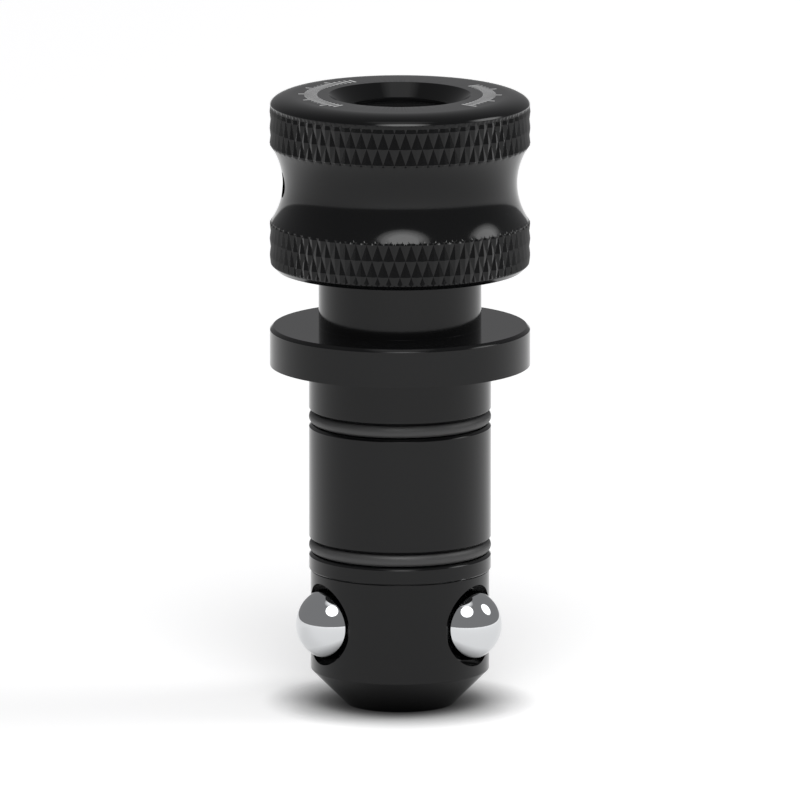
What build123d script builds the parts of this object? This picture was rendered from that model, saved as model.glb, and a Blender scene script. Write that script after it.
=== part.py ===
from build123d import *
from math import acos, ceil, cos, degrees, floor, radians, sin, sqrt, tan
import os

# Ball lock pin for the 28 mm holes of a fixture plate.
# Lengths are in millimetres, angles in degrees. +Z is up along the pin's axis,
# and the flat end of the nose is at z = 0. The pin is drawn locked: turning the
# knob anticlockwise lifts the spreader cone and lets the three balls drop inward.

# Shank, flange and neck, turned as one piece
shank_diameter = 28.0
shank_length = 32.0
shank_edge_chamfer = 0.25
flange_diameter = 40.0
flange_thickness = 6.0
flange_chamfer = 0.5
neck_diameter = 25.0
neck_exposed_length = 9.0
neck_covered_length = 10.0
neck_edge_chamfer = 0.4

# Ball cage, screwed into the lower end of the shank
cage_diameter = 27.5
cage_length = 21.0
nose_chamfer = 5.45
cage_floor = 6.5
spigot_diameter = 20.0
spigot_length = 7.8
spigot_end_gap = 0.2

# Locking balls and their windows
ball_count = 3
ball_diameter = 11.0
ball_height = 13.4
ball_locked_radius = 12.0
ball_travel = 3.8
first_ball_angle = 90.0
window_mouth_diameter = 12.6
window_mouth_depth = 0.1
window_lip_catch = 0.07
window_lip_width = 1.0
window_lip_thickness = 0.4

# Spreader cone, its swivel joint and the thrust ball
cone_diameter = 15.0
cone_half_angle = 30.0
cone_tip_diameter = 5.0
cone_top_gap = 1.4
thrust_ball_diameter = 6.0
thrust_ball_drop = 9.4
thrust_seat_depth = 1.0
retaining_pin_diameter = 2.5
retaining_pin_drop = 4.0
retaining_pin_end_gap = 0.1
pin_groove_diameter = 6.4
pin_groove_width = 2.8

# Spindle, with its thread drawn as a plain cylinder of the outer diameter
thread_diameter = 14.0
thread_lead = 4.0
stem_diameter = 9.0
head_diameter = 16.0
head_recess = 2.4
hex_across_flats = 6.0
hex_depth = 6.0
chamber_diameter = 18.5
chamber_top_height = 44.0

# Travel stop: a snap ring on the spindle's stem with a washer above it
stop_washer_diameter = 17.0
stop_washer_thickness = 1.0
snap_ring_diameter = 14.6
snap_ring_thickness = 1.0
snap_ring_gap = 2.6
snap_groove_diameter = 8.4
snap_groove_side_gap = 0.05

# Knob, as wide as the flange
knob_diameter = flange_diameter
knob_height = 27.0
knob_end_gap = 0.3
knob_chamfer = 1.0
knob_shoulder_width = 3.75
knob_shoulder_depth = 1.65
waist_depth = 2.0
waist_drop = 13.5
waist_arc_radius = 10.4
recess_diameter = 17.8
recess_depth = 2.0
recess_lip_radius = 1.3

# Knurl of raised four-sided pyramids, which the waist cuts into two bands
knurl_count = 72
knurl_row_pitch = 2.5
knurl_depth = 0.3
knurl_first_row = 2.1
knurl_start_angle = 1.75

# Set screw that fixes the knob to the spindle
set_screw_diameter = 4.0
set_screw_length = 5.0
set_screw_dog_diameter = 2.5
set_screw_dog_length = 0.9
set_screw_hex = 2.0
set_screw_hex_depth = 2.0
set_screw_angle = 187.0
set_screw_height = 13.7

# O-rings
shank_ring_cord = 2.0
shank_groove_width = 2.1
shank_groove_chamfer = 0.4
upper_ring_drop = 8.15
lower_ring_drop = 28.25
neck_ring_cord = 1.8
neck_groove_width = 2.0
neck_ring_drop = 1.7

# Clearances, all on the radius or on one face
running_clearance = 0.05
seat_clearance = 0.02

# Heights and radii that follow from the sizes above
flange_bottom = cage_length + shank_length
flange_top = flange_bottom + flange_thickness
knob_bottom = flange_top + neck_exposed_length
knob_top = knob_bottom + knob_height
neck_top = knob_bottom + neck_covered_length
knob_ceiling = neck_top + knob_end_gap
spigot_top = cage_length + spigot_length
head_top = knob_top - head_recess

shank_radius = shank_diameter / 2
flange_radius = flange_diameter / 2
neck_radius = neck_diameter / 2
cage_radius = cage_diameter / 2
spigot_radius = spigot_diameter / 2
ball_radius = ball_diameter / 2
cone_radius = cone_diameter / 2
cone_bore_radius = cone_radius + running_clearance
thrust_ball_radius = thrust_ball_diameter / 2
retaining_pin_radius = retaining_pin_diameter / 2
thread_radius = thread_diameter / 2
stem_radius = stem_diameter / 2
head_radius = head_diameter / 2
chamber_radius = chamber_diameter / 2
knob_radius = knob_diameter / 2
knurl_root_radius = knob_radius - knurl_depth
set_screw_radius = set_screw_diameter / 2

# The cone's lift and the knob's turn that draw the balls in by their full travel
cone_slope = tan(radians(cone_half_angle))
cone_lift = ball_travel / cone_slope
knob_turn = 360 * cone_lift / thread_lead
ball_angles = [first_ball_angle + 360 * i / ball_count for i in range(ball_count)]

# The stack inside the chamber, from its roof down. The washer meets the roof when
# the cone has lifted through its full travel.
washer_top = chamber_top_height - cone_lift - seat_clearance
snap_ring_top = washer_top - stop_washer_thickness - seat_clearance
snap_ring_bottom = snap_ring_top - snap_ring_thickness
cone_top_height = snap_ring_bottom - cone_top_gap
retaining_pin_height = cone_top_height - retaining_pin_drop
thrust_ball_height = cone_top_height - thrust_ball_drop


def turned(outline):
    # Solid turned about the pin's axis from a closed outline of radius and height
    return revolve(Plane.XZ * make_face(outline), Axis.Z)


def turned_polygon(*points):
    return turned(Polyline(*points, close=True))


def tube(outer_radius, inner_radius, bottom, top):
    return turned_polygon(
        (inner_radius, bottom), (outer_radius, bottom), (outer_radius, top), (inner_radius, top)
    )


def rod(radius, bottom, top):
    return Pos(0, 0, bottom) * Cylinder(radius, top - bottom, align=(Align.CENTER, Align.CENTER, Align.MIN))


def o_ring(outer_radius, cord, height):
    return Pos(0, 0, height) * Torus(outer_radius - cord / 2, cord / 2)


def o_ring_groove(outer_radius, cord, width, edge_chamfer, height):
    # Square groove as deep as the cord, with its two outer edges broken
    half = width / 2
    bottom_radius = outer_radius - cord
    reach = outer_radius + edge_chamfer
    return turned_polygon(
        (bottom_radius, height - half),
        (outer_radius - edge_chamfer, height - half),
        (reach, height - half - 2 * edge_chamfer),
        (reach, height + half + 2 * edge_chamfer),
        (outer_radius - edge_chamfer, height + half),
        (bottom_radius, height + half),
    )


def radial(angle, height):
    # Plane with its normal pointing outward from the axis at the given angle
    outward = Vector(cos(radians(angle)), sin(radians(angle)), 0)
    sideways = Vector(-sin(radians(angle)), cos(radians(angle)), 0)
    return Plane(origin=(0, 0, height), x_dir=sideways, z_dir=outward)


def radial_rod(radius, angle, height, start, end):
    length = end - start
    bar = Pos(0, 0, start) * Cylinder(radius, length, align=(Align.CENTER, Align.CENTER, Align.MIN))
    return radial(angle, height) * bar


def upper_ring_height():
    return flange_bottom - upper_ring_drop


def lower_ring_height():
    return flange_bottom - lower_ring_drop


def neck_ring_height():
    return neck_top - neck_ring_drop


def make_shank_body():
    body = turned_polygon(
        (spigot_radius, cage_length),
        (shank_radius - shank_edge_chamfer, cage_length),
        (shank_radius, cage_length + shank_edge_chamfer),
        (shank_radius, flange_bottom),
        (flange_radius, flange_bottom),
        (flange_radius, flange_top - flange_chamfer),
        (flange_radius - flange_chamfer, flange_top),
        (neck_radius, flange_top),
        (neck_radius, neck_top - neck_edge_chamfer),
        (neck_radius - neck_edge_chamfer, neck_top),
        (thread_radius + running_clearance, neck_top),
        (thread_radius + running_clearance, chamber_top_height),
        (chamber_radius, chamber_top_height),
        (chamber_radius, spigot_top + spigot_end_gap),
        (spigot_radius, spigot_top + spigot_end_gap),
    )
    for height in (upper_ring_height(), lower_ring_height()):
        body -= o_ring_groove(
            shank_radius, shank_ring_cord, shank_groove_width, shank_groove_chamfer, height
        )
    body -= tube(
        neck_radius + neck_edge_chamfer,
        neck_radius - neck_ring_cord,
        neck_ring_height() - neck_groove_width / 2,
        neck_ring_height() + neck_groove_width / 2,
    )
    return body


def make_window(angle):
    # Ball bore from the cage's middle, with a wider mouth outside the ball's equator
    bore = radial_rod(ball_radius + running_clearance, angle, ball_height, 0, cage_radius)
    mouth_start = ball_locked_radius - window_mouth_depth
    mouth = radial_rod(window_mouth_diameter / 2, angle, ball_height, mouth_start, cage_radius)
    return bore + mouth


def make_lips(angle):
    # Two staked nibs, above and below the ball, that keep it from leaving the window
    lip_radius = ball_radius - window_lip_catch
    lip_start = ball_locked_radius + sqrt(ball_radius**2 - lip_radius**2) + seat_clearance
    nib_height = window_mouth_diameter / 2 - lip_radius + running_clearance
    nib_size = (window_lip_width, nib_height, window_lip_thickness)
    lips = []
    for side in (1, -1):
        middle = side * (lip_radius + nib_height / 2)
        nib = Pos(0, middle, lip_start + window_lip_thickness / 2) * Box(*nib_size)
        lips.append(radial(angle, ball_height) * nib)
    return lips


def make_ball_cage():
    cage = turned_polygon(
        (0, 0),
        (cage_radius - nose_chamfer, 0),
        (cage_radius, nose_chamfer),
        (cage_radius, cage_length),
        (spigot_radius, cage_length),
        (spigot_radius, spigot_top),
        (cone_bore_radius, spigot_top),
        (cone_bore_radius, cage_floor),
        (0, cage_floor),
    )
    for angle in ball_angles:
        cage -= make_window(angle)
    for angle in ball_angles:
        cage += make_lips(angle)
    return cage


def make_locking_ball(angle):
    return radial(angle, ball_height) * (Pos(0, 0, ball_locked_radius) * Sphere(ball_radius))


def retaining_pin_offset():
    return pin_groove_diameter / 2 + running_clearance + retaining_pin_radius


def retaining_pin_length():
    # Short enough to stay inside the cone's round side at the pin's outer edge
    outer_edge = retaining_pin_offset() + retaining_pin_radius
    return 2 * (sqrt(cone_radius**2 - outer_edge**2) - retaining_pin_end_gap)


def make_retaining_pin(side):
    pin = Cylinder(retaining_pin_radius, retaining_pin_length(), rotation=(90, 0, 0))
    return Pos(side * retaining_pin_offset(), 0, retaining_pin_height) * pin


def thrust_cup():
    return Pos(0, 0, thrust_ball_height) * Sphere(thrust_ball_radius + seat_clearance)


def make_spreader_cone():
    # The flank touches each ball, in its locked place, along the cone's own slope
    half_angle = radians(cone_half_angle)
    contact_radius = ball_locked_radius - (ball_radius + seat_clearance) * cos(half_angle)
    contact_height = ball_height + (ball_radius + seat_clearance) * sin(half_angle)
    tip_radius = cone_tip_diameter / 2
    tip_height = contact_height - (contact_radius - tip_radius) / cone_slope
    shoulder_height = contact_height + (cone_radius - contact_radius) / cone_slope
    socket_radius = stem_radius + running_clearance
    socket_floor = thrust_ball_height - thrust_ball_radius + thrust_seat_depth
    cone = turned_polygon(
        (0, tip_height),
        (tip_radius, tip_height),
        (cone_radius, shoulder_height),
        (cone_radius, cone_top_height),
        (socket_radius, cone_top_height),
        (socket_radius, socket_floor),
        (0, socket_floor),
    )
    cone -= thrust_cup()
    for side in (1, -1):
        pin_hole = Cylinder(retaining_pin_radius + seat_clearance, cone_diameter, rotation=(90, 0, 0))
        cone -= Pos(side * retaining_pin_offset(), 0, retaining_pin_height) * pin_hole
    return cone


def make_thrust_ball():
    return Pos(0, 0, thrust_ball_height) * Sphere(thrust_ball_radius)


def make_stop_washer():
    bottom = washer_top - stop_washer_thickness
    return tube(stop_washer_diameter / 2, stem_radius + running_clearance, bottom, washer_top)


def make_snap_ring():
    inner_radius = snap_groove_diameter / 2 + seat_clearance
    outer_radius = snap_ring_diameter / 2
    ring = tube(outer_radius, inner_radius, snap_ring_bottom, snap_ring_top)
    slot_size = (outer_radius, snap_ring_gap, 2 * snap_ring_thickness)
    slot = Box(*slot_size, align=(Align.MIN, Align.CENTER, Align.CENTER))
    return ring - Pos(inner_radius / 2, 0, snap_ring_top - snap_ring_thickness / 2) * slot


def hex_hole(across_flats, depth):
    # Hexagonal cutter that reaches down from z = 0 by its depth, and a little above it
    hexagon = RegularPolygon(across_flats / sqrt(3), 6)
    return Pos(0, 0, -depth) * extrude(hexagon, amount=2 * depth)


def make_spindle():
    groove_low = snap_ring_bottom - snap_groove_side_gap
    groove_high = snap_ring_top + snap_groove_side_gap
    stem_bottom = thrust_ball_height + thrust_ball_radius - thrust_seat_depth
    head_bottom = knob_ceiling + seat_clearance
    spindle = rod(stem_radius, stem_bottom, chamber_top_height)
    spindle += rod(thread_radius, chamber_top_height, head_bottom)
    spindle += rod(head_radius - seat_clearance, head_bottom, head_top)
    pin_groove_low = retaining_pin_height - pin_groove_width / 2
    pin_groove_high = retaining_pin_height + pin_groove_width / 2
    spindle -= tube(chamber_radius, pin_groove_diameter / 2, pin_groove_low, pin_groove_high)
    spindle -= tube(chamber_radius, snap_groove_diameter / 2, groove_low, groove_high)
    spindle -= thrust_cup()
    spindle -= Pos(0, 0, head_top) * hex_hole(hex_across_flats, hex_depth)
    dimple_start = head_radius - set_screw_dog_length - seat_clearance
    dimple_radius = set_screw_dog_diameter / 2 + running_clearance
    spindle -= radial_rod(
        dimple_radius, set_screw_angle, knob_bottom + set_screw_height, dimple_start, head_diameter
    )
    return spindle


def make_set_screw():
    height = knob_bottom + set_screw_height
    dog_start = head_radius - set_screw_dog_length
    body_start = head_radius + seat_clearance
    body_end = body_start + set_screw_length
    screw = radial_rod(set_screw_dog_diameter / 2, set_screw_angle, height, dog_start, body_start)
    screw += radial_rod(set_screw_radius - seat_clearance, set_screw_angle, height, body_start, body_end)
    socket = Pos(0, 0, body_end) * hex_hole(set_screw_hex, set_screw_hex_depth)
    return screw - radial(set_screw_angle, height) * socket


def knurl_point(column, row, height):
    # Tips and roots alternate round a row, and from each row to the next
    is_tip = (column + row) % 2 == 0
    radius = knob_radius if is_tip else knurl_root_radius
    angle = radians(knurl_start_angle + 180 * column / knurl_count)
    return Vector(radius * cos(angle), radius * sin(angle), height)


def knurled_disc(bottom, top):
    # Disc with a rim of four-sided pyramids, from one whole row outside its faces to the other
    row_height = knob_top - knurl_first_row
    first_row = floor((bottom - row_height) / knurl_row_pitch)
    last_row = ceil((top - row_height) / knurl_row_pitch)
    columns = range(2 * knurl_count)
    rows = []
    for row in range(first_row, last_row + 1):
        height = row_height + row * knurl_row_pitch
        rows.append([knurl_point(column, row, height) for column in columns])
    flanks = []
    for index, (lower, upper) in enumerate(zip(rows, rows[1:])):
        for column in columns:
            a, b = lower[column - 1], lower[column]
            c, d = upper[column], upper[column - 1]
            # The edge between two pyramids runs from root to root
            if (column - 1 + first_row + index) % 2 == 0:
                flanks += [(a, b, d), (b, c, d)]
            else:
                flanks += [(a, b, c), (a, c, d)]
    faces = [Face(Wire.make_polygon(corners)) for corners in flanks + [rows[0], rows[-1]]]
    return Solid(Shell(faces)) & rod(knob_diameter, bottom, top)


def shoulder_height(radius):
    # Height of the knob's elliptical shoulder at a radius
    reach = (radius - knob_radius + knob_shoulder_width) / knob_shoulder_width
    return knob_top - knob_shoulder_depth * (1 - sqrt(1 - reach**2))


def make_knob_cap(bottom, rim_radius):
    centre = (knob_radius - knob_shoulder_width, knob_top - knob_shoulder_depth)
    start = degrees(acos((rim_radius - centre[0]) / knob_shoulder_width))
    shoulder = EllipticalCenterArc(
        centre, knob_shoulder_width, knob_shoulder_depth, start, arc_size=90 - start
    )
    rest = Polyline(shoulder @ 1, (0, knob_top), (0, bottom), shoulder @ 0)
    return turned([shoulder, rest])


def make_knob_waist(bottom, top, rim_radius):
    waist = RadiusArc((rim_radius, bottom), (rim_radius, top), waist_arc_radius)
    return turned([waist, Polyline((rim_radius, top), (0, top), (0, bottom), (rim_radius, bottom))])


def make_recess():
    # Round recess in the knob's top with a rounded lip
    floor_height = knob_top - recess_depth
    wall_radius = recess_diameter / 2
    lip_height = knob_top - recess_lip_radius
    lip = CenterArc((wall_radius + recess_lip_radius, lip_height), recess_lip_radius, 180, -90)
    rest = Polyline(
        lip @ 1,
        (wall_radius + recess_lip_radius, knob_top + recess_lip_radius),
        (0, knob_top + recess_lip_radius),
        (0, floor_height),
        (wall_radius, floor_height),
        lip @ 0,
    )
    return turned([lip, rest])


def make_knob():
    # The knurl starts and ends where the turned outline passes half its depth
    rim_radius = knob_radius - knurl_depth / 2
    waist_middle = knob_top - waist_drop
    rim_offset = waist_arc_radius - waist_depth + knurl_depth / 2
    waist_half = sqrt(waist_arc_radius**2 - rim_offset**2)
    cap_bottom = shoulder_height(rim_radius)
    chamfer_top = knob_bottom + knob_chamfer - knurl_depth / 2
    knob = make_knob_cap(cap_bottom, rim_radius)
    knob += knurled_disc(waist_middle + waist_half, cap_bottom)
    knob += make_knob_waist(waist_middle - waist_half, waist_middle + waist_half, rim_radius)
    knob += knurled_disc(chamfer_top, waist_middle - waist_half)
    knob += turned_polygon(
        (0, knob_bottom),
        (knob_radius - knob_chamfer, knob_bottom),
        (rim_radius, chamfer_top),
        (0, chamfer_top),
    )
    knob -= rod(neck_radius + running_clearance, knob_bottom - knob_chamfer, knob_ceiling)
    knob -= rod(head_radius, knob_ceiling - knob_chamfer, knob_top)
    knob -= make_recess()
    knob -= radial_rod(
        set_screw_radius, set_screw_angle, knob_bottom + set_screw_height, head_radius / 2, knob_diameter
    )
    return knob


def make_parts():
    parts = {
        "shank_body": make_shank_body(),
        "ball_cage": make_ball_cage(),
        "upper_o_ring": o_ring(shank_radius, shank_ring_cord, upper_ring_height()),
        "lower_o_ring": o_ring(shank_radius, shank_ring_cord, lower_ring_height()),
        "neck_o_ring": o_ring(neck_radius, neck_ring_cord, neck_ring_height()),
        "spreader_cone": make_spreader_cone(),
        "thrust_ball": make_thrust_ball(),
        "left_retaining_pin": make_retaining_pin(-1),
        "right_retaining_pin": make_retaining_pin(1),
        "spindle": make_spindle(),
        "snap_ring": make_snap_ring(),
        "stop_washer": make_stop_washer(),
        "knob": make_knob(),
        "knob_set_screw": make_set_screw(),
    }
    for number, angle in enumerate(ball_angles, start=1):
        parts[f"locking_ball_{number}"] = make_locking_ball(angle)
    return parts


os.makedirs("parts", exist_ok=True)
for name, solid in make_parts().items():
    solid.label = name
    export_step(solid, f"parts/{name}.step")
print(f"cone lift {cone_lift:.3f} mm, knob turn {knob_turn:.1f} degrees")
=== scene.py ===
from math import atan2, cos, degrees, pi, radians, sin, sqrt, tan

import bpy
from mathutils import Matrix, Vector


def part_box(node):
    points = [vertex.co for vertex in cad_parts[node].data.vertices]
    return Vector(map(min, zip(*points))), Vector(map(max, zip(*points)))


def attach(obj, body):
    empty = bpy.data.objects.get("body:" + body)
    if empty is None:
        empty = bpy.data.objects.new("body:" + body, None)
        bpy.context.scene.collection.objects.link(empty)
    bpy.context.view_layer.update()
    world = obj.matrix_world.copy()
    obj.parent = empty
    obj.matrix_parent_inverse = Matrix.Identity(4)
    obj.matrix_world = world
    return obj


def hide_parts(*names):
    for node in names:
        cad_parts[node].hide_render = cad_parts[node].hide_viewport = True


mm = 0.001
mergeDistance = 0.002 * mm

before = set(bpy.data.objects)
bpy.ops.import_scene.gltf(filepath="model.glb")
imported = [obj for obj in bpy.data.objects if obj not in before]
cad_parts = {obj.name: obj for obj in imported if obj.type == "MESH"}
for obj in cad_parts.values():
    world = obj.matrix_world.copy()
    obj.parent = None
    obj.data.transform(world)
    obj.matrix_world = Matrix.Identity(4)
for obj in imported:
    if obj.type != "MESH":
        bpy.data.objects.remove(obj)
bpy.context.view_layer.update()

knobLow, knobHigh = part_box("knob")
shankLow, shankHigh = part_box("shank_body")
_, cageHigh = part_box("ball_cage")
spindleLow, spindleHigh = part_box("spindle")
ballAngles = [90, 210, 330]     # degrees from +X, anticlockwise seen from above


# Modelling helpers: an outline is a list of (radius, height) points in metres

def deselectAll():
    bpy.ops.object.select_all(action="DESELECT")


def makeActive(piece):
    deselectAll()
    piece.select_set(True)
    bpy.context.view_layer.objects.active = piece


def arcPoints(centre, radius, startAngle, endAngle, steps):
    points = []
    for i in range(steps + 1):
        angle = radians(startAngle + (endAngle - startAngle) * i / steps)
        points.append((centre[0] + radius * cos(angle), centre[1] + radius * sin(angle)))
    return points


def drawOutline(name, outline):
    # A plane merged to one vertex, then extruded from point to point
    deselectAll()
    bpy.ops.mesh.primitive_plane_add(size=mm, location=(0, 0, 0))
    piece = bpy.context.active_object
    piece.name = name
    piece.data.name = name
    bpy.ops.object.mode_set(mode="EDIT")
    bpy.ops.mesh.select_mode(type="VERT")
    bpy.ops.mesh.merge(type="CENTER")
    bpy.ops.transform.translate(value=(outline[0][0], 0, outline[0][1]))
    for (r0, z0), (r1, z1) in zip(outline, outline[1:]):
        bpy.ops.mesh.extrude_region_move(TRANSFORM_OT_translate={"value": (r1 - r0, 0, z1 - z0)})
    return piece


def turnOutline(name, outline, steps=192):
    # Spins the outline round the axis and closes its seam and poles
    piece = drawOutline(name, outline)
    bpy.ops.mesh.select_all(action="SELECT")
    bpy.ops.mesh.spin(steps=steps, angle=2 * pi, center=(0, 0, 0), axis=(0, 0, 1))
    bpy.ops.mesh.select_all(action="SELECT")
    bpy.ops.mesh.remove_doubles(threshold=mergeDistance)
    bpy.ops.mesh.normals_make_consistent(inside=False)
    bpy.ops.object.mode_set(mode="OBJECT")
    return piece


def applyModifier(piece, kind, **settings):
    makeActive(piece)
    bpy.ops.object.modifier_add(type=kind)
    modifier = piece.modifiers[-1]
    for key, value in settings.items():
        setattr(modifier, key, value)
    bpy.ops.object.modifier_apply(modifier=modifier.name)


def roundEdges(piece, width, segments, limit=30):
    applyModifier(
        piece, "BEVEL", width=width, segments=segments, limit_method="ANGLE",
        angle_limit=radians(limit), use_clamp_overlap=True, harden_normals=False,
    )


def smooth(piece, angle):
    # Weighted normals keep the wide faces flat beside their rounded edges
    makeActive(piece)
    bpy.ops.object.shade_smooth_by_angle(angle=radians(angle))
    applyModifier(piece, "WEIGHTED_NORMAL", mode="FACE_AREA", weight=50, keep_sharp=True)


def cutAway(piece, cutter):
    applyModifier(piece, "BOOLEAN", operation="DIFFERENCE", object=cutter, solver="EXACT")
    bpy.data.objects.remove(cutter)


def pointOutward(piece, angle, height):
    # Tips a piece made along the axis, so that its axis points out sideways at a height
    makeActive(piece)
    piece.rotation_euler = (0, pi / 2, radians(angle))
    piece.location = (0, 0, height)
    bpy.ops.object.transform_apply(location=True, rotation=True, scale=False)


def dress(piece, material, body, slot, *nodes):
    piece.data.materials.clear()
    piece.data.materials.append(material)
    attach(piece, body)
    if nodes:
        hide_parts(*nodes)


# Materials

def startMaterial(name):
    material = bpy.data.materials.new(name)
    material.use_nodes = True
    nodes = material.node_tree.nodes
    nodes.clear()
    shader = nodes.new("ShaderNodeBsdfPrincipled")
    output = nodes.new("ShaderNodeOutputMaterial")
    material.node_tree.links.new(shader.outputs[0], output.inputs[0])
    return material, nodes, material.node_tree.links, shader


def mathNode(nodes, links, operation, first, second=None):
    node = nodes.new("ShaderNodeMath")
    node.operation = operation
    for socket, value in zip(node.inputs, (first, second)):
        if value is None:
            continue
        if isinstance(value, (int, float)):
            socket.default_value = value
        else:
            links.new(value, socket)
    return node.outputs[0]


def turnedPattern(nodes, links, fineness):
    # Noise that follows the lathe: it changes with radius and height, and not round the axis
    coordinates = nodes.new("ShaderNodeTexCoord")
    split = nodes.new("ShaderNodeSeparateXYZ")
    links.new(coordinates.outputs["Object"], split.inputs[0])
    squareX = mathNode(nodes, links, "MULTIPLY", split.outputs[0], split.outputs[0])
    squareY = mathNode(nodes, links, "MULTIPLY", split.outputs[1], split.outputs[1])
    radius = mathNode(nodes, links, "SQRT", mathNode(nodes, links, "ADD", squareX, squareY))
    join = nodes.new("ShaderNodeCombineXYZ")
    links.new(radius, join.inputs[0])
    links.new(split.outputs[2], join.inputs[2])
    noise = nodes.new("ShaderNodeTexNoise")
    noise.inputs["Scale"].default_value = fineness
    noise.inputs["Detail"].default_value = 2
    links.new(join.outputs[0], noise.inputs["Vector"])
    return noise.outputs["Fac"], split, radius


def ranged(nodes, links, source, low, high):
    node = nodes.new("ShaderNodeMapRange")
    node.inputs["To Min"].default_value = low
    node.inputs["To Max"].default_value = high
    links.new(source, node.inputs["Value"])
    return node.outputs[0]


blackFinish = {
    "colour": (0.0035, 0.0036, 0.0038, 1),
    "roughness": (0.09, 0.13),
    "refraction": 1.33,
    "turningFineness": 9000,
    "turningDepth": 0.0012 * mm,
    "turningStrength": 0.6,
    "blotchFineness": 160,
    "blotchDetail": 4,
}


def makeBlackSteel(name):
    finish = blackFinish
    material, nodes, links, shader = startMaterial(name)
    turning, split, radius = turnedPattern(nodes, links, finish["turningFineness"])
    coordinates = nodes.new("ShaderNodeTexCoord")
    blotch = nodes.new("ShaderNodeTexNoise")
    blotch.inputs["Scale"].default_value = finish["blotchFineness"]
    blotch.inputs["Detail"].default_value = finish["blotchDetail"]
    links.new(coordinates.outputs["Object"], blotch.inputs["Vector"])
    low, high = finish["roughness"]
    links.new(ranged(nodes, links, blotch.outputs["Fac"], low, high), shader.inputs["Roughness"])
    bump = nodes.new("ShaderNodeBump")
    bump.inputs["Distance"].default_value = finish["turningDepth"]
    bump.inputs["Strength"].default_value = finish["turningStrength"]
    links.new(turning, bump.inputs["Height"])
    links.new(bump.outputs[0], shader.inputs["Normal"])
    shader.inputs["Base Color"].default_value = finish["colour"]
    shader.inputs["IOR"].default_value = finish["refraction"]
    return material, nodes, links, shader, split, radius


graduation = {
    "inner": 12.7,          # mm from the axis
    "outer": 14.7,
    "longOuter": 15.6,
    "spacing": 4.0,         # degrees between marks
    "longEvery": 5,
    "width": 0.4,           # mm
    "arcs": ((176.0, 106.0), (-2.0, 82.0)),   # middle and sweep of each, degrees from +X
    "depth": 0.05,          # mm below the knob's top that still counts as its top face
    "colour": (0.72, 0.72, 0.72, 1),
}


def makeMarkedSteel():
    # Black steel with two arcs of plain graduation marks on the knob's top face
    g = graduation
    material, nodes, links, shader, split, radius = makeBlackSteel("markedBlackSteel")

    def use(operation, first, second=None):
        return mathNode(nodes, links, operation, first, second)

    angle = use("DEGREES", use("ARCTAN2", split.outputs[1], split.outputs[0]))
    step = use("DIVIDE", angle, g["spacing"])
    offset = use("ABSOLUTE", use("SUBTRACT", step, use("ROUND", step)))
    across = use("MULTIPLY", use("MULTIPLY", offset, radians(g["spacing"])), radius)
    onLine = use("LESS_THAN", across, g["width"] * mm / 2)
    count = use("DIVIDE", use("ROUND", step), g["longEvery"])
    fraction = use("ABSOLUTE", use("SUBTRACT", count, use("ROUND", count)))
    isLong = use("LESS_THAN", fraction, 0.5 / g["longEvery"])
    extra = use("MULTIPLY", isLong, (g["longOuter"] - g["outer"]) * mm)
    reach = use("ADD", extra, g["outer"] * mm)
    beyond = use("GREATER_THAN", radius, g["inner"] * mm)
    inBand = use("MULTIPLY", beyond, use("LESS_THAN", radius, reach))
    inArc = None
    for middle, sweep in g["arcs"]:
        turn = use("SUBTRACT", angle, middle)
        wholeTurns = use("MULTIPLY", use("ROUND", use("DIVIDE", turn, 360)), 360)
        away = use("ABSOLUTE", use("SUBTRACT", turn, wholeTurns))
        inside = use("LESS_THAN", away, sweep / 2)
        inArc = inside if inArc is None else use("MAXIMUM", inArc, inside)
    onTop = use("GREATER_THAN", split.outputs[2], knobHigh.z - g["depth"] * mm)
    mark = use("MULTIPLY", use("MULTIPLY", onLine, inBand), use("MULTIPLY", inArc, onTop))
    paint = nodes.new("ShaderNodeMix")
    paint.data_type = "RGBA"
    links.new(mark, paint.inputs["Factor"])
    paint.inputs["A"].default_value = blackFinish["colour"]
    paint.inputs["B"].default_value = g["colour"]
    links.new(paint.outputs["Result"], shader.inputs["Base Color"])
    return material


coneFinish = {"colour": (0.42, 0.42, 0.43, 1), "roughness": (0.18, 0.3), "fineness": 6000}
pinFinish = {"colour": (0.5, 0.5, 0.51, 1), "roughness": (0.22, 0.35), "fineness": 5000}


def makeBareSteel(name, finish):
    material, nodes, links, shader = startMaterial(name)
    pattern, _, _ = turnedPattern(nodes, links, finish["fineness"])
    links.new(ranged(nodes, links, pattern, *finish["roughness"]), shader.inputs["Roughness"])
    shader.inputs["Base Color"].default_value = finish["colour"]
    shader.inputs["Metallic"].default_value = 1
    return material


ballFinish = {"colour": (0.62, 0.63, 0.64, 1), "roughness": (0.02, 0.06), "fineness": 900}


def makePolishedSteel():
    material, nodes, links, shader = startMaterial("polishedBallSteel")
    coordinates = nodes.new("ShaderNodeTexCoord")
    noise = nodes.new("ShaderNodeTexNoise")
    noise.inputs["Scale"].default_value = ballFinish["fineness"]
    links.new(coordinates.outputs["Object"], noise.inputs["Vector"])
    roughness = ranged(nodes, links, noise.outputs["Fac"], *ballFinish["roughness"])
    links.new(roughness, shader.inputs["Roughness"])
    shader.inputs["Base Color"].default_value = ballFinish["colour"]
    shader.inputs["Metallic"].default_value = 1
    return material


rubberFinish = {
    "colour": (0.045, 0.045, 0.045, 1),
    "roughness": (0.42, 0.55),
    "fineness": 4000,
    "detail": 3,
    "grainDepth": 0.004 * mm,
}


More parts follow.
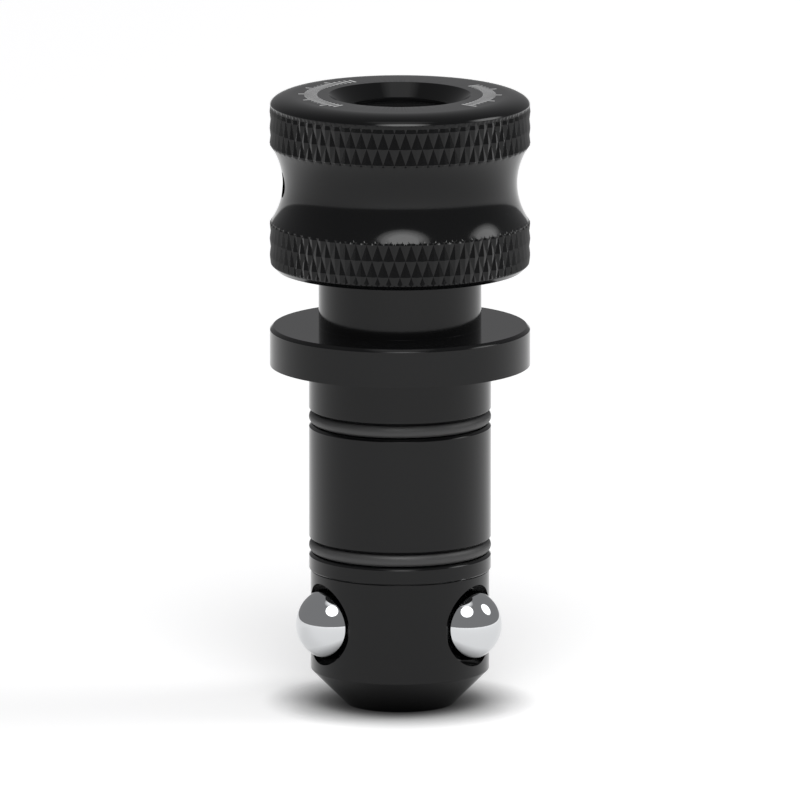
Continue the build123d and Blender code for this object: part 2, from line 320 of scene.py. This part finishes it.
def makeRubber():
    material, nodes, links, shader = startMaterial("sealRubber")
    coordinates = nodes.new("ShaderNodeTexCoord")
    noise = nodes.new("ShaderNodeTexNoise")
    noise.inputs["Scale"].default_value = rubberFinish["fineness"]
    noise.inputs["Detail"].default_value = rubberFinish["detail"]
    links.new(coordinates.outputs["Object"], noise.inputs["Vector"])
    bump = nodes.new("ShaderNodeBump")
    bump.inputs["Distance"].default_value = rubberFinish["grainDepth"]
    links.new(noise.outputs["Fac"], bump.inputs["Height"])
    links.new(bump.outputs[0], shader.inputs["Normal"])
    roughness = ranged(nodes, links, noise.outputs["Fac"], *rubberFinish["roughness"])
    links.new(roughness, shader.inputs["Roughness"])
    shader.inputs["Base Color"].default_value = rubberFinish["colour"]
    return material


blackSteel = makeBlackSteel("blackSteel")[0]
markedBlackSteel = makeMarkedSteel()
groundSteel = makeBareSteel("groundConeSteel", coneFinish)
plainSteel = makeBareSteel("plainPinSteel", pinFinish)
ballSteel = makePolishedSteel()
sealRubber = makeRubber()
print("materials made")


# Knob

knobSizes = {
    "neckBore": 12.55,        # radii and heights in mm
    "headBore": 8.0,
    "ceiling": 10.3,          # above the knob's lower face
    "chamfer": 1.0,
    "waistRadius": 18.0,
    "waistDrop": 13.75,       # below the top
    "waistArc": 10.5,
    "waistSteps": 40,
    "shoulderWidth": 3.75,
    "shoulderDepth": 1.65,
    "shoulderSteps": 18,
    "recessMouth": 10.94,
    "recessRadius": 8.94,
    "recessDepth": 2.0,
    "edgeRadius": 0.12,
    "screwRadius": 2.0,
    "screwAngle": 187.0,
    "smoothAngle": 9,
}
knurl = {
    "count": 72,
    "depth": 0.3,
    "reach": 1.02,            # depths from the tips inward, in which faces belong to it
    "rowPitch": 2.475,
    "fineness": 4,            # columns in half a pitch, and rings in a row
    "firstRow": 2.6,          # a row of tips, below the knob's top
    "start": 1.3,             # runs out into the smooth shoulder, from full depth to nothing
    "fullDepth": 1.95,
    "phase": 1.75,            # degrees, turns the tips of the first row
}


def knobOutlineRadius(drop):
    # Outer radius of the turned blank, at a depth below the knob's top, in mm
    k = knobSizes
    outer = knobHigh.x / mm
    height = (knobHigh.z - knobLow.z) / mm
    if drop < k["shoulderDepth"]:
        rise = (k["shoulderDepth"] - drop) / k["shoulderDepth"]
        return outer - k["shoulderWidth"] + k["shoulderWidth"] * sqrt(max(0, 1 - rise ** 2))
    if drop > height - k["chamfer"]:
        return outer - (drop - height + k["chamfer"])
    away = abs(drop - k["waistDrop"])
    if away < k["waistArc"]:
        centre = k["waistRadius"] + k["waistArc"]
        return min(outer, centre - sqrt(k["waistArc"] ** 2 - away ** 2))
    return outer


def knurlRise(column, drop):
    # Share of the knurl's depth at a place on its surface: 1 at a tip, 0 along the valleys
    across = column / (2 * knurl["fineness"])
    down = (drop - knurl["firstRow"]) / (2 * knurl["rowPitch"])
    away = max(abs(leaning - round(leaning)) for leaning in (across + down, across - down))
    return 1 - 2 * away


def knobDrops():
    # Depths of the rings of vertices on the knob's side, from the chamfer up to the shoulder
    k = knobSizes
    height = (knobHigh.z - knobLow.z) / mm
    half = sqrt(k["waistArc"] ** 2 - (k["waistArc"] - (knobHigh.x / mm - k["waistRadius"])) ** 2)
    grid = knurl["rowPitch"] / knurl["fineness"]
    drops = {height - k["chamfer"] * share for share in (0, 0.7, 0.85, 1)}
    waistSteps = k["waistSteps"]
    drops |= {k["waistDrop"] - half + 2 * half * i / waistSteps for i in range(waistSteps + 1)}
    for top, bottom in (
        (k["shoulderDepth"], k["waistDrop"] - half), (k["waistDrop"] + half, height - k["chamfer"]),
    ):
        first = int((top - knurl["firstRow"]) / grid) - 1
        last = int((bottom - knurl["firstRow"]) / grid) + 1
        rings = [knurl["firstRow"] + i * grid for i in range(first, last + 1)]
        drops |= {drop for drop in rings if top < drop < bottom}
    shoulderSteps = k["shoulderSteps"]
    for i in range(shoulderSteps + 1):
        drops.add(k["shoulderDepth"] * (1 - sin(radians(90 * i / shoulderSteps))))
    return sorted(drops, reverse=True)


def turnKnob():
    k = knobSizes
    top = knobHigh.z
    bottom = knobLow.z
    outline = [(k["neckBore"] * mm, bottom)]
    outline += [(knobOutlineRadius(drop) * mm, top - drop * mm) for drop in knobDrops()]
    edge = k["edgeRadius"] * mm
    edgeCentre = (k["recessMouth"] * mm + edge * tan(pi / 8), top - edge)
    outline += arcPoints(edgeCentre, edge, 90, 135, 4)
    outline += [
        (k["recessRadius"] * mm, top - k["recessDepth"] * mm),
        (k["headBore"] * mm, top - k["recessDepth"] * mm),
        (k["headBore"] * mm, bottom + k["ceiling"] * mm),
        (k["neckBore"] * mm, bottom + k["ceiling"] * mm),
        (k["neckBore"] * mm, bottom),
    ]
    blank = turnOutline("knurledKnob", outline, steps=2 * knurl["count"] * knurl["fineness"])
    blank.rotation_euler = (0, 0, radians(knurl["phase"]))
    bpy.ops.object.transform_apply(location=False, rotation=True, scale=False)
    return blank


def rollKnurl(piece):
    # Presses the valleys of the knurl into the blank, leaving rows of four-sided tips
    columnAngle = 180 / (knurl["count"] * knurl["fineness"])
    root = knobHigh.x / mm - knurl["depth"]
    for vertex in piece.data.vertices:
        x, y, z = vertex.co
        radius = sqrt(x * x + y * y) / mm
        if radius < root:
            continue
        column = (degrees(atan2(y, x)) - knurl["phase"]) / columnAngle
        drop = (knobHigh.z - z) / mm
        share = (drop - knurl["start"]) / (knurl["fullDepth"] - knurl["start"])
        valley = knurl["depth"] * min(1, max(0, share)) * (1 - knurlRise(round(column), drop))
        surface = knobHigh.x / mm - valley
        if surface < radius:
            vertex.co = (x * surface / radius, y * surface / radius, z)


def splitKnurlFaces(piece):
    # Cuts each face of the knurl along its shorter diagonal, which is a valley or a ridge
    makeActive(piece)
    root = knobHigh.x - knurl["reach"] * knurl["depth"] * mm
    for face in piece.data.polygons:
        corners = [piece.data.vertices[i].co for i in face.vertices]
        face.select = all(sqrt(c.x ** 2 + c.y ** 2) > root for c in corners)
    bpy.ops.object.mode_set(mode="EDIT")
    bpy.ops.mesh.select_mode(type="FACE")
    bpy.ops.mesh.quads_convert_to_tris(quad_method="SHORTEST_DIAGONAL")
    bpy.ops.object.mode_set(mode="OBJECT")


def makeKnob():
    k = knobSizes
    knob = turnKnob()
    rollKnurl(knob)
    splitKnurlFaces(knob)
    drill = turnOutline("drill", [
        (0, k["headBore"] / 2 * mm), (k["screwRadius"] * mm, k["headBore"] / 2 * mm),
        (k["screwRadius"] * mm, knobHigh.x + mm), (0, knobHigh.x + mm),
    ], steps=64)
    pointOutward(drill, k["screwAngle"], knobHigh.z - k["waistDrop"] * mm)
    cutAway(knob, drill)
    smooth(knob, k["smoothAngle"])
    dress(knob, markedBlackSteel, "knob", "knob_steel", "knob")


makeKnob()
print("knob made")


# Shank, flange and neck, one turned piece

shankSizes = {
    "radius": 14.0,
    "flangeRadius": 20.0,
    "neckRadius": 12.5,
    "threadBore": 7.05,
    "chamberRadius": 9.25,
    "spigotRadius": 10.0,
    "flangeBottom": 53.0,
    "flangeTop": 59.0,
    "flangeChamfer": 0.5,
    "chamberTop": 44.0,
    "chamberBottom": 29.0,
    "edgeChamfer": 0.25,
    "neckChamfer": 0.4,
    "rings": (24.75, 44.85),
    "grooveWidth": 2.1,
    "grooveDepth": 2.0,
    "grooveChamfer": 0.4,
    "neckRing": 76.3,
    "neckGrooveWidth": 2.0,
    "neckGrooveDepth": 1.8,
    "rounding": 0.03,
    "smoothAngle": 30,
}


def makeShank():
    s = shankSizes
    bottom = shankLow.z / mm
    outline = [
        (s["spigotRadius"], bottom),
        (s["radius"] - s["edgeChamfer"], bottom),
        (s["radius"], bottom + s["edgeChamfer"]),
    ]
    half = s["grooveWidth"] / 2
    for height in s["rings"]:
        outline += [
            (s["radius"], height - half - s["grooveChamfer"]),
            (s["radius"] - s["grooveChamfer"], height - half),
            (s["radius"] - s["grooveDepth"], height - half),
            (s["radius"] - s["grooveDepth"], height + half),
            (s["radius"] - s["grooveChamfer"], height + half),
            (s["radius"], height + half + s["grooveChamfer"]),
        ]
    neckTop = shankHigh.z / mm
    neckHalf = s["neckGrooveWidth"] / 2
    outline += [
        (s["radius"], s["flangeBottom"]),
        (s["flangeRadius"], s["flangeBottom"]),
        (s["flangeRadius"], s["flangeTop"] - s["flangeChamfer"]),
        (s["flangeRadius"] - s["flangeChamfer"], s["flangeTop"]),
        (s["neckRadius"], s["flangeTop"]),
        (s["neckRadius"], s["neckRing"] - neckHalf),
        (s["neckRadius"] - s["neckGrooveDepth"], s["neckRing"] - neckHalf),
        (s["neckRadius"] - s["neckGrooveDepth"], s["neckRing"] + neckHalf),
        (s["neckRadius"], s["neckRing"] + neckHalf),
        (s["neckRadius"], neckTop - s["neckChamfer"]),
        (s["neckRadius"] - s["neckChamfer"], neckTop),
        (s["threadBore"], neckTop),
        (s["threadBore"], s["chamberTop"]),
        (s["chamberRadius"], s["chamberTop"]),
        (s["chamberRadius"], s["chamberBottom"]),
        (s["spigotRadius"], s["chamberBottom"]),
        (s["spigotRadius"], bottom),
    ]
    shank = turnOutline("turnedShank", [(r * mm, z * mm) for r, z in outline])
    roundEdges(shank, s["rounding"] * mm, 2)
    smooth(shank, s["smoothAngle"])
    dress(shank, blackSteel, "pin_body", "body_steel", "shank_body")


makeShank()
print("shank made")


# Ball cage with its windows

cageSizes = {
    "noseChamfer": 5.45,
    "top": 21.0,
    "floor": 6.5,
    "coneBore": 7.55,
    "spigotRadius": 10.0,
    "ballHeight": 13.4,
    "ballBore": 5.55,
    "mouthRadius": 6.3,
    "mouthStart": 11.9,
    "rounding": 0.12,
    "smoothAngle": 30,
}


def makeCage():
    c = cageSizes
    radius = cageHigh.x / mm
    outline = [
        (0, 0), (radius - c["noseChamfer"], 0), (radius, c["noseChamfer"]), (radius, c["top"]),
        (c["spigotRadius"], c["top"]), (c["spigotRadius"], cageHigh.z / mm),
        (c["coneBore"], cageHigh.z / mm), (c["coneBore"], c["floor"]), (0, c["floor"]),
    ]
    cage = turnOutline("ballCage", [(r * mm, z * mm) for r, z in outline])
    roundEdges(cage, c["rounding"] * mm, 3)
    for angle in ballAngles:
        window = (
            (0, 0), (c["ballBore"], 0), (c["ballBore"], c["mouthStart"]),
            (c["mouthRadius"], c["mouthStart"]), (c["mouthRadius"], radius + 1), (0, radius + 1),
        )
        cutter = turnOutline("windowCutter", [(r * mm, z * mm) for r, z in window], steps=96)
        pointOutward(cutter, angle, c["ballHeight"] * mm)
        cutAway(cage, cutter)
    smooth(cage, c["smoothAngle"])
    dress(cage, blackSteel, "pin_body", "cage_steel", "ball_cage")


makeCage()
print("ball cage made")


# Locking balls

ballFacets = {"upwards": 48, "round": 96}


def makeBall(number):
    low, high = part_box(f"locking_ball_{number}")
    radius = (high.z - low.z) / 2
    outline = arcPoints((0, 0), radius, -90, 90, ballFacets["upwards"])
    ball = turnOutline(f"lockingBall{number}", outline, steps=ballFacets["round"])
    makeActive(ball)
    ball.location = (low + high) / 2
    bpy.ops.object.transform_apply(location=True, rotation=False, scale=False)
    smooth(ball, 60)
    dress(ball, ballSteel, f"ball_{number}", "ball_steel", f"locking_ball_{number}")


for number in (1, 2, 3):
    makeBall(number)
print("balls made")


# O-rings, each a round cord turned about the axis

cordSteps = 48


def makeRing(name, node):
    low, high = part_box(node)
    cord = (high.z - low.z) / 2
    centre = (high.x - cord, (low.z + high.z) / 2)
    ring = turnOutline(name, arcPoints(centre, cord, 0, 360, cordSteps))
    smooth(ring, 40)
    dress(ring, sealRubber, "pin_body", "seal_rubber", node)


makeRing("upperORing", "upper_o_ring")
makeRing("lowerORing", "lower_o_ring")
makeRing("neckORing", "neck_o_ring")
print("rings made")


# Spindle with its hexagon socket; the thread, which never shows, is a plain cylinder

spindleSizes = {
    "headRadius": 7.98,
    "headBottom": 78.32,
    "headChamfer": 0.3,
    "threadRadius": 7.0,
    "threadBottom": 44.0,
    "stemRadius": 4.5,
    "pinGroove": (28.6, 31.4, 3.2),   # lower and upper height, and the radius of the floor
    "ringGrooveRadius": 4.2,
    "ringGrooveGap": 0.05,
    "hexAcross": 6.0,
    "hexDepth": 6.0,
    "hexTurn": 30,
    "rounding": 0.08,
    "smoothAngle": 30,
}


def makeSpindle():
    s = spindleSizes
    low = spindleLow.z / mm
    top = spindleHigh.z / mm
    ringLow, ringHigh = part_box("snap_ring")
    gap = s["ringGrooveGap"]
    ringGroove = (ringLow.z / mm - gap, ringHigh.z / mm + gap, s["ringGrooveRadius"])
    outline = [(0, low), (s["stemRadius"], low)]
    for lower, upper, floor in (s["pinGroove"], ringGroove):
        outline += [
            (s["stemRadius"], lower), (floor, lower), (floor, upper), (s["stemRadius"], upper),
        ]
    outline += [
        (s["stemRadius"], s["threadBottom"]), (s["threadRadius"], s["threadBottom"]),
        (s["threadRadius"], s["headBottom"]), (s["headRadius"], s["headBottom"]),
        (s["headRadius"], top - s["headChamfer"]), (s["headRadius"] - s["headChamfer"], top),
        (0, top),
    ]
    spindle = turnOutline("threadedSpindle", [(r * mm, z * mm) for r, z in outline], steps=128)
    roundEdges(spindle, s["rounding"] * mm, 2)
    deselectAll()
    bpy.ops.mesh.primitive_cylinder_add(
        vertices=6, radius=s["hexAcross"] / sqrt(3) * mm, depth=2 * s["hexDepth"] * mm,
        location=(0, 0, top * mm),
    )
    hexagon = bpy.context.active_object
    hexagon.rotation_euler = (0, 0, radians(s["hexTurn"]))
    bpy.ops.object.transform_apply(location=True, rotation=True, scale=False)
    cutAway(spindle, hexagon)
    smooth(spindle, s["smoothAngle"])
    dress(spindle, blackSteel, "knob", "spindle_steel", "spindle")


makeSpindle()
print("spindle made")


# CAD pieces that keep their own mesh

for node, material in (
    ("spreader_cone", groundSteel), ("thrust_ball", ballSteel), ("left_retaining_pin", plainSteel),
    ("right_retaining_pin", plainSteel), ("snap_ring", plainSteel), ("stop_washer", plainSteel),
    ("knob_set_screw", blackSteel),
):
    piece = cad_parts[node]
    piece.data.materials.clear()
    piece.data.materials.append(material)


# Floor, world, lamps and camera

studio = {
    "floorSize": 8.0,
    "floorColour": (0.93, 0.93, 0.93, 1),
    "nearGlow": 0.29,         # added to what the floor reflects, at the object
    "farGlow": 0.85,
    "farDistance": 2.5,       # metres from the object
    "paintedShadowReach": 0.0095,    # metres, how far the painted contact shadow on the floor reaches
    # how steeply the painted contact shadow darkens towards the object
    "paintedShadowDepth": 1.6,
    "lampSteps": (1.0, 0.8, 0.58),   # sizes of the discs that make one soft lamp
    "lampGap": 0.01,
    "dome": (0.27, 0.27, 0.275, 1),
    "lamps": (
        # name, azimuth and elevation in degrees, distance, size, power
        ("frontLamp", -85, 52, 1.6, 1.1, 14.0),
        ("sideLamp", 7, 36, 1.6, 0.85, 6.0),
        ("topLamp", -88, 82, 1.6, 1.0, 1.5),
    ),
    "azimuth": 1.75,
    "elevation": 11.02,
    "distance": 3.0,
    "width": 0.12294,
    "targetHeight": 0.0473,
    "sensor": 36.0,           # mm
    "clipStart": 0.1,
}


def makeFloor():
    deselectAll()
    bpy.ops.mesh.primitive_plane_add(size=studio["floorSize"], location=(0, 0, 0))
    floor = bpy.context.active_object
    floor.name = "studioFloor"
    material = bpy.data.materials.new("paleFloor")
    material.use_nodes = True
    nodes = material.node_tree.nodes
    links = material.node_tree.links
    nodes.clear()
    rays = nodes.new("ShaderNodeLightPath")
    diffuse = nodes.new("ShaderNodeBsdfDiffuse")
    diffuse.inputs["Color"].default_value = studio["floorColour"]
    glow = nodes.new("ShaderNodeEmission")
    # Painted shadow: ambient occlusion darkens the floor's colour and its glow close round the
    # object
    paintedShadowOcclusion = nodes.new("ShaderNodeAmbientOcclusion")
    paintedShadowOcclusion.inputs["Distance"].default_value = studio["paintedShadowReach"]
    paintedShadow = mathNode(nodes, links, "POWER", paintedShadowOcclusion.outputs["AO"], studio["paintedShadowDepth"])
    paintedShadowColour = nodes.new("ShaderNodeVectorMath")
    paintedShadowColour.operation = "SCALE"
    paintedShadowColour.inputs[0].default_value = studio["floorColour"][:3]
    links.new(paintedShadow, paintedShadowColour.inputs["Scale"])
    links.new(paintedShadowColour.outputs[0], diffuse.inputs["Color"])
    coordinates = nodes.new("ShaderNodeTexCoord")
    away = nodes.new("ShaderNodeVectorMath")
    away.operation = "LENGTH"
    links.new(coordinates.outputs["Object"], away.inputs[0])
    level = nodes.new("ShaderNodeMapRange")
    level.inputs["From Max"].default_value = studio["farDistance"]
    level.inputs["To Min"].default_value = studio["nearGlow"]
    level.inputs["To Max"].default_value = studio["farGlow"]
    links.new(away.outputs["Value"], level.inputs["Value"])
    seen = rays.outputs["Is Camera Ray"]
    for kind in ("Is Glossy Ray", "Is Transmission Ray"):
        seen = mathNode(nodes, links, "MAXIMUM", seen, rays.outputs[kind])
    strength = mathNode(nodes, links, "MULTIPLY", seen, paintedShadow)
    strength = mathNode(nodes, links, "MULTIPLY", strength, level.outputs[0])
    links.new(strength, glow.inputs["Strength"])
    both = nodes.new("ShaderNodeAddShader")
    links.new(diffuse.outputs[0], both.inputs[0])
    links.new(glow.outputs[0], both.inputs[1])
    output = nodes.new("ShaderNodeOutputMaterial")
    links.new(both.outputs[0], output.inputs[0])
    floor.data.materials.append(material)


def direction(azimuth, elevation):
    turn = radians(azimuth)
    rise = radians(elevation)
    return Vector((cos(turn) * cos(rise), sin(turn) * cos(rise), sin(rise)))


def makeLamps():
    target = Vector((0, 0, studio["targetHeight"]))
    for name, azimuth, elevation, distance, size, power in studio["lamps"]:
        away = direction(azimuth, elevation)
        share = power / sum(step ** 2 for step in studio["lampSteps"])
        for i, step in enumerate(studio["lampSteps"]):
            data = bpy.data.lights.new(name, "AREA")
            data.shape = "DISK"
            data.size = size * step
            data.energy = share * step ** 2
            lamp = bpy.data.objects.new(name, data)
            bpy.context.scene.collection.objects.link(lamp)
            lamp.location = target + away * (distance - i * studio["lampGap"])
            lamp.rotation_euler = away.to_track_quat("Z", "Y").to_euler()


def makeWorld():
    world = bpy.data.worlds.new("studioDome")
    bpy.context.scene.world = world
    world.use_nodes = True
    background = world.node_tree.nodes["Background"]
    background.inputs["Color"].default_value = studio["dome"]
    background.inputs["Strength"].default_value = 1.0


def makeCamera():
    data = bpy.data.cameras.new("productCamera")
    data.sensor_width = studio["sensor"]
    data.lens = studio["sensor"] * studio["distance"] / studio["width"]
    data.clip_start = studio["clipStart"]
    data.clip_end = 3 * studio["distance"] + studio["floorSize"]
    camera = bpy.data.objects.new("productCamera", data)
    bpy.context.scene.collection.objects.link(camera)
    back = direction(studio["azimuth"] - 90, studio["elevation"])
    camera.location = Vector((0, 0, studio["targetHeight"])) + back * studio["distance"]
    camera.rotation_euler = back.to_track_quat("Z", "Y").to_euler()
    bpy.context.scene.camera = camera


makeFloor()
makeLamps()
makeWorld()
makeCamera()
bpy.context.scene.view_settings.view_transform = "Standard"
print("studio made")
